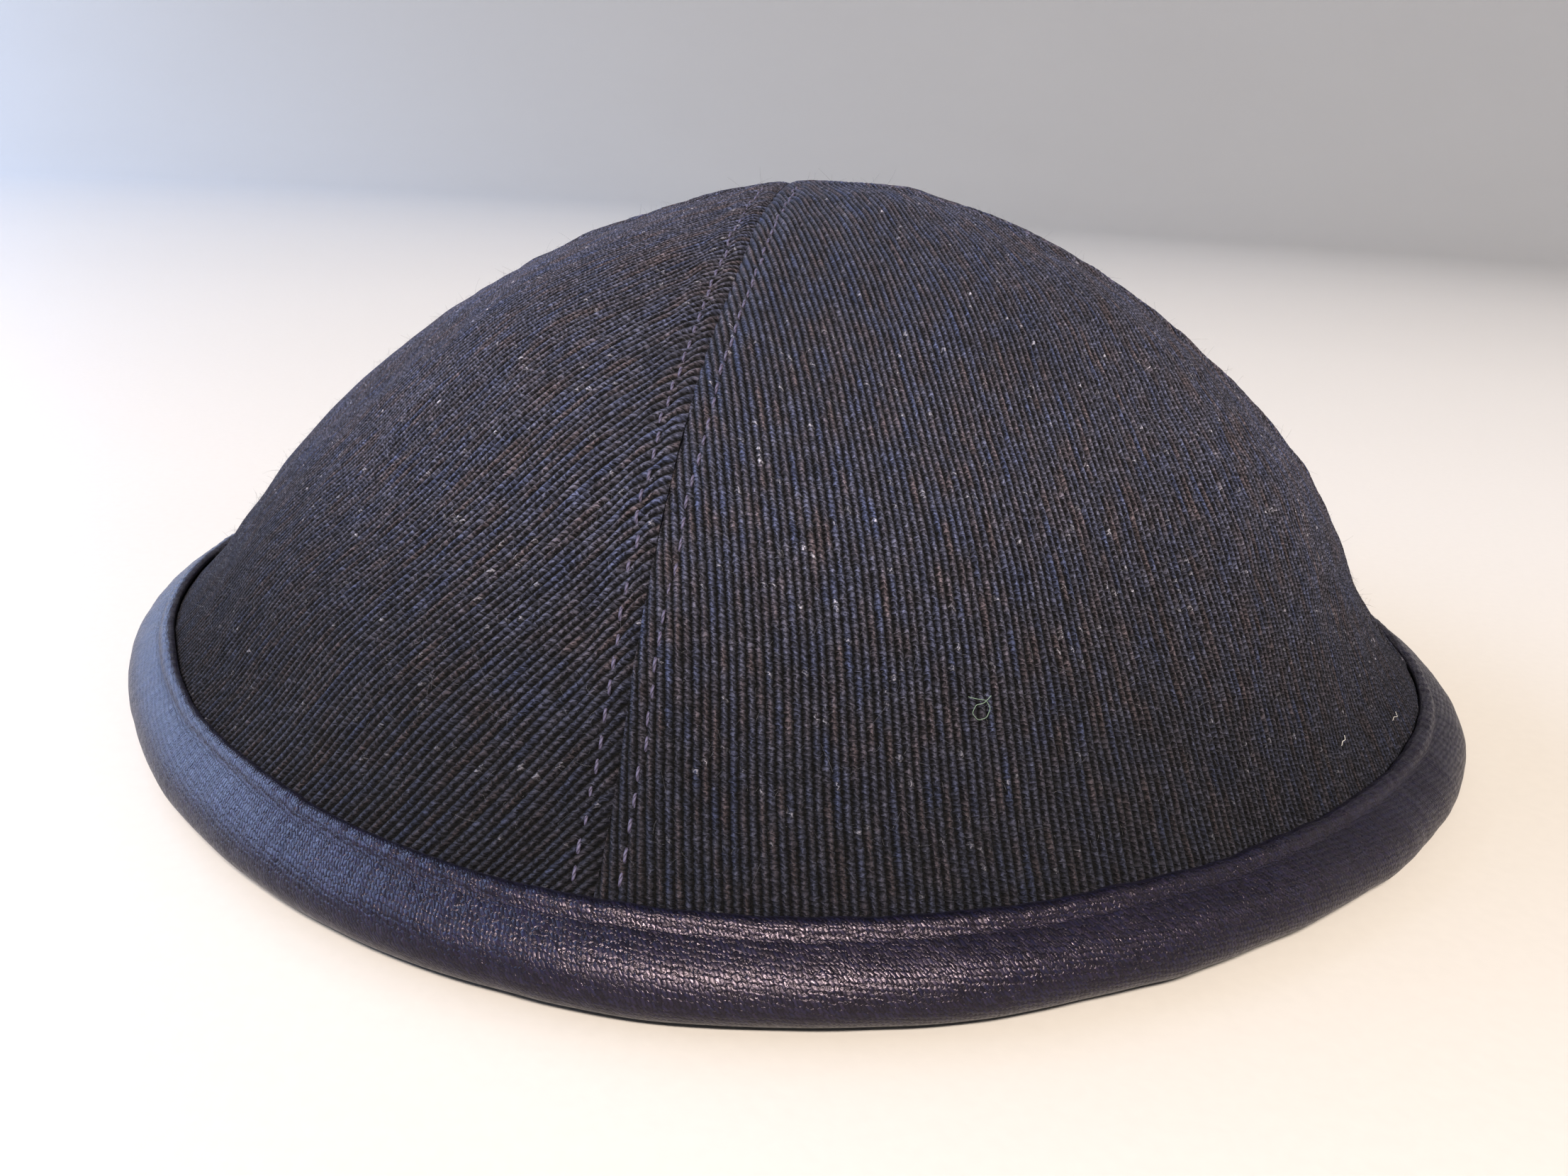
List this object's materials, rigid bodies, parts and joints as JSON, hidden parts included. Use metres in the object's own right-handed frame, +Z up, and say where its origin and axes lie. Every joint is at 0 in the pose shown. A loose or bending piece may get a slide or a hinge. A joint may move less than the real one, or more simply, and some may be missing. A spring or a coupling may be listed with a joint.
{
  "type": "cloth skullcap",
  "caption": "Domed skullcap of ribbed suiting in sewn gores with topstitched seams, a cloth lining and a plump satin binding round the rim.",
  "frame": {"origin": "on the surface that the rim rests on, under the middle of the rim", "axes": "+Z up through the crown, -Y towards the front seam side, +X to the right of it"},
  "size_m": [0.1825, 0.1826, 0.0654],
  "materials": {
    "ribbed_suiting": "matte ribbed wool-blend suiting, dark navy grey melange",
    "interlining": "stiff fused buckram, unbleached",
    "lining_cloth": "thin smooth polyester lining, dark navy",
    "binding_satin": "glossy bias-cut satin, dark navy",
    "topstitch_thread": "polyester sewing thread, purple navy",
    "sewing_thread": "polyester sewing thread, dark navy"
  },
  "bodies": {
    "root": {"outer_gore_front_right": "ribbed_suiting", "interlining_gore_front_right": "interlining", "lining_gore_front_right": "lining_cloth", "outer_gore_back_right": "ribbed_suiting", "interlining_gore_back_right": "interlining", "lining_gore_back_right": "lining_cloth", "outer_gore_back_left": "ribbed_suiting", "interlining_gore_back_left": "interlining", "lining_gore_back_left": "lining_cloth", "outer_gore_front_left": "ribbed_suiting", "interlining_gore_front_left": "interlining", "lining_gore_front_left": "lining_cloth", "outer_seam_thread_front": "sewing_thread", "lining_seam_thread_front": "sewing_thread", "topstitch_front_clockwise": "topstitch_thread", "topstitch_front_anticlockwise": "topstitch_thread", "outer_seam_thread_right": "sewing_thread", "lining_seam_thread_right": "sewing_thread", "topstitch_right_clockwise": "topstitch_thread", "topstitch_right_anticlockwise": "topstitch_thread", "outer_seam_thread_back": "sewing_thread", "lining_seam_thread_back": "sewing_thread", "topstitch_back_clockwise": "topstitch_thread", "topstitch_back_anticlockwise": "topstitch_thread", "outer_seam_thread_left": "sewing_thread", "lining_seam_thread_left": "sewing_thread", "topstitch_left_clockwise": "topstitch_thread", "topstitch_left_anticlockwise": "topstitch_thread", "rim_binding": "binding_satin", "binding_stitch_outside": "topstitch_thread", "binding_stitch_inside": "topstitch_thread"}
  },
  "joints": []
}
